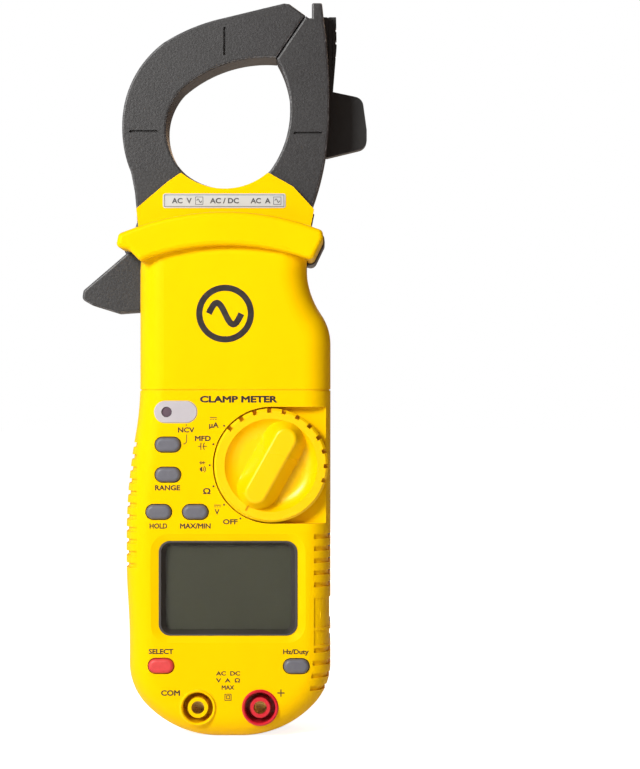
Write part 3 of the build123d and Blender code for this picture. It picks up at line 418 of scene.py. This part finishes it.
# ---------------------------------------------------------------- printing
class Print:
    """Thin artwork on a surface that faces -Y. Places are in millimetres, seen from the front."""

    def __init__(self, node):
        self.maker = bmesh.new()
        spots = [node.matrix_world @ vertex.co for vertex in node.data.vertices]
        self.under = BVHTree.FromPolygons(spots, [face.vertices for face in node.data.polygons])

    def back_y(self, x, z):
        """How far back the print goes at x, z: just in front of the surface under it."""
        start = Vector((x * MM, PANEL_Y - 10 * MM, z * MM))
        return self.under.ray_cast(start, Vector((0, 1, 0)))[0].y - INK_LIFT

    def corner(self, x, z, front):
        return self.maker.verts.new((x * MM, self.back_y(x, z) - (INK_THICK if front else 0.0), z * MM))

    def stroke(self, points, width, closed=False):
        """A line of even width through the points."""
        sides = []
        count = len(points)
        for i, (x, z) in enumerate(points):
            before = points[i - 1] if i or closed else points[0]
            after = points[(i + 1) % count] if i < count - 1 or closed else points[i]
            run = Vector((after[0] - before[0], after[1] - before[1])).normalized() * width / 2
            left, right = (x - run.y, z + run.x), (x + run.y, z - run.x)
            sides.append([self.corner(*left, True), self.corner(*right, True),
                          self.corner(*right, False), self.corner(*left, False)])
        for i in range(count if closed else count - 1):
            a, b = sides[i], sides[(i + 1) % count]
            for k in range(4):
                self.maker.faces.new((a[k], a[(k + 1) % 4], b[(k + 1) % 4], b[k]))
        if not closed:
            self.maker.faces.new(sides[0])
            self.maker.faces.new(list(reversed(sides[-1])))

    def bar(self, x, z, width, height):
        self.stroke([(x - width / 2, z), (x + width / 2, z)], height)

    def dot(self, x, z, radius):
        """A filled round dot."""
        steps = 24
        turn = 2 * pi / steps
        places = [(x + radius * cos(turn * i), z + radius * sin(turn * i)) for i in range(steps)]
        rims = [[self.corner(*place, front) for place in places] for front in (True, False)]
        self.maker.faces.new(rims[0])
        self.maker.faces.new(list(reversed(rims[1])))
        for i in range(steps):
            k = (i + 1) % steps
            self.maker.faces.new((rims[0][i], rims[1][i], rims[1][k], rims[0][k]))

    def arc(self, x, z, radius, start, end, width):
        """Part of a circle, with angles in degrees from +X towards +Z."""
        steps = 32
        angles = [radians(start + (end - start) * i / steps) for i in range(steps + 1)]
        self.stroke([(x + radius * cos(a), z + radius * sin(a)) for a in angles], width)

    def circle(self, x, z, radius, width):
        steps = 64
        angles = [2 * pi * i / steps for i in range(steps)]
        self.stroke([(x + radius * cos(a), z + radius * sin(a)) for a in angles], width, closed=True)

    def box(self, x, z, width, height, line):
        left, right, low, high = x - width / 2, x + width / 2, z - height / 2, z + height / 2
        corners = [(left, low), (right, low), (right, high), (left, high)]
        for a, b in zip(corners, corners[1:] + corners[:1]):
            self.stroke([a, b], line)
            self.dot(*a, line / 2)

    def sine(self, x, z, length, height, width):
        steps = 40
        parts = [i / steps for i in range(steps + 1)]
        self.stroke([(x + length * (part - 0.5), z + height / 2 * sin(2 * pi * part)) for part in parts],
                    width)

    def text(self, words, x, z, width, height, weight=0.032):
        """Capitals of the given height, spread over the given width, centred on x, z."""
        curve = bpy.data.curves.new("words", "FONT")
        curve.body = words
        curve.bevel_depth = weight
        curve.resolution_u = 3
        holder = bpy.data.objects.new("words", curve)
        mesh = bpy.data.meshes.new_from_object(holder)
        spots = [v.co for v in mesh.vertices]
        low = Vector([min(p[i] for p in spots) for i in range(3)])
        size = Vector([max(p[i] for p in spots) for i in range(3)]) - low
        for vertex in mesh.vertices:
            across = (vertex.co.x - low.x) / size.x - 0.5
            up = (vertex.co.y - low.y) / size.y - 0.5
            place = (x + across * width, z + up * height)
            depth = self.back_y(*place) - INK_THICK * (vertex.co.z - low.z) / size.z
            vertex.co = (place[0] * MM, depth, place[1] * MM)
        self.maker.from_mesh(mesh)
        bpy.data.objects.remove(holder)
        bpy.data.curves.remove(curve)
        bpy.data.meshes.remove(mesh)

    def upright(self, x, z, height, width):
        self.stroke([(x, z - height / 2), (x, z + height / 2)], width)

    def alternating_direct(self, x, z, width):
        """The sign for alternating or direct current: a line over three dashes."""
        self.bar(x, z, width, FINE)
        for step in (-1, 0, 1):
            self.bar(x + step * width * 0.37, z - 0.55, width * 0.22, 0.2)

    def done(self, name, material):
        mesh = bpy.data.meshes.new(name)
        bmesh.ops.recalc_face_normals(self.maker, faces=self.maker.faces)
        self.maker.to_mesh(mesh)
        self.maker.free()
        mesh.materials.append(material)
        piece = bpy.data.objects.new(name, mesh)
        bpy.context.collection.objects.link(piece)
        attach(piece, "root")


def ink(name, base, faded):
    """Pad-printed ink, slightly uneven where it lies on the grain."""
    graph = Graph(name)
    cover = graph.noise(scale=700.0, detail=3.0)
    colour = graph.mix_colour(graph.ramp(cover, (0.5, 0.8)), base, faded)
    graph.surface(colour, graph.ramp(cover, (0.3, 0.7), (0.35, 0.5)),
                  normal=graph.bump(graph.noise(scale=2600.0, detail=2.0), 0.008 * MM))
    return graph.material


def print_key_legends(brown):
    """Names of the keys and of the two inputs."""
    page = Print(frame["nodes"]["front_case"])
    page.text("NCV", -13.1, 94.7, 5.1, CAP)
    page.text("RANGE", -18.8, 77.0, 7.7, CAP)
    page.text("HOLD", -21.6, 65.3, 5.4, CAP)
    page.text("MAX/MIN", -10.3, 65.3, 9.4, CAP)
    page.text("SELECT", -20.8, 26.9, 7.6, CAP)
    page.text("Hz/Duty", 20.5, 26.6, 7.9, 2.0)
    page.text("COM", -17.9, 14.2, 5.8, 1.75)
    page.bar(15.9, 14.2, 2.2, BOLD)
    page.upright(15.9, 14.2, 2.2, BOLD)
    # the line that ties the word NCV to its window and its key
    page.upright(-13.1, 96.2, 0.6, THIN)
    page.upright(-12.95, 92.35, 1.9, THIN)
    page.arc(-13.95, 91.4, 1.0, 0, -90, THIN)
    page.done("key_legends", brown)


def print_dial_legends(brown):
    """The positions of the rotary switch, clockwise from OFF."""
    page = Print(frame["nodes"]["front_case"])
    for step in range(POSITIONS):
        angle = radians(FIRST_POSITION + DIAL_STEP * step)
        page.dot(DIAL_X + DOT_RING * cos(angle), DIAL_Z + DOT_RING * sin(angle), 0.3)
    page.text("OFF", 0.4, 66.6, 4.5, CAP)
    page.text("V", -3.65, 69.6, 1.45, CAP)
    page.alternating_direct(-3.5, 71.7, 2.1)
    page.text("\u03a9", -6.8, 76.0, 2.3, 1.85)
    print_continuity(page)
    print_capacitance(page)
    page.text("\u00b5A", -4.6, 96.0, 3.0, 2.1)
    page.alternating_direct(-4.8, 98.5, 2.1)
    page.done("dial_legends", brown)


def print_continuity(page):
    """A diode over a sounder with two waves."""
    page.bar(-8.15, 84.7, 1.9, 0.2)
    page.upright(-7.7, 84.7, 1.0, FINE)
    page.stroke([(-8.7, 84.2), (-8.7, 85.2), (-7.85, 84.7), (-8.7, 84.2)], FINE)
    page.bar(-8.75, 82.65, 0.3, 0.8)
    page.bar(-8.4, 82.65, 0.4, 1.4)
    for radius in (0.7, 1.2):
        page.arc(-8.4, 82.65, radius, -50, 50, FINE)


def print_capacitance(page):
    """A capacitor beside its unit: a straight plate and a curved one, with their leads."""
    page.text("MFD", -8.0, 92.1, 4.9, CAP)
    page.bar(-9.1, 89.7, 0.9, THIN)
    page.upright(-8.6, 89.7, 2.2, 0.28)
    page.arc(-6.4, 89.7, 1.5, 135, 225, 0.28)
    page.bar(-7.3, 89.7, 1.1, THIN)


def print_emblem(black):
    """A plain alternating-current sign in a ring, and the kind of instrument."""
    page = Print(frame["nodes"]["front_case"])
    page.circle(EMBLEM_X, EMBLEM_Z, 7.9, EMBLEM_LINE)
    page.sine(EMBLEM_X, EMBLEM_Z, 10.0, 6.6, EMBLEM_LINE)
    page.text("CLAMP METER", 3.0, 104.1, 23.8, 2.1, weight=0.045)
    page.done("emblem", black)


def print_ratings(brown):
    """Units that the inputs take, and the sign for double insulation."""
    page = Print(frame["nodes"]["front_case"])
    page.text("AC  DC", RATINGS_X, 20.2, 7.4, SMALL_CAP)
    page.text("V  A  \u03a9", RATINGS_X, 18.1, 7.4, SMALL_CAP)
    page.text("MAX", RATINGS_X, 15.9, 3.9, SMALL_CAP)
    for side in (1.9, 0.95):
        page.box(RATINGS_X, 12.9, side, side, 0.2)
    page.done("input_ratings", brown)


def print_label(grey):
    """The strip on the collar: a border, units and two plain signs."""
    page = Print(frame["nodes"]["rating_label"])
    page.box(LABEL_X, LABEL_Z, 37.0, 3.6, HAIR)
    page.text("AC  V", -15.0, LABEL_Z, 6.2, LABEL_CAP)
    page.text("AC / DC", -1.8, LABEL_Z, 9.0, LABEL_CAP)
    page.text("AC  A", 9.4, LABEL_Z, 6.2, LABEL_CAP)
    for x in (-9.6, 14.6):
        page.box(x, LABEL_Z, 2.3, 2.3, HAIR)
        page.sine(x, LABEL_Z, 1.5, 1.1, THIN)
    page.done("label_print", grey)


# ---------------------------------------------------------------- making it all
make_camera()
make_studio()
make_floor()
dress_cad_nodes({**case_materials(), **inner_materials()})
brown_ink = ink("brown_ink", (0.035, 0.013, 0.002), (0.07, 0.028, 0.004))
print_key_legends(brown_ink)
print_dial_legends(brown_ink)
print_ratings(brown_ink)
print_emblem(ink("black_ink", (0.012, 0.007, 0.005), (0.022, 0.014, 0.008)))
print_label(ink("grey_ink", (0.07, 0.07, 0.08), (0.12, 0.12, 0.13)))
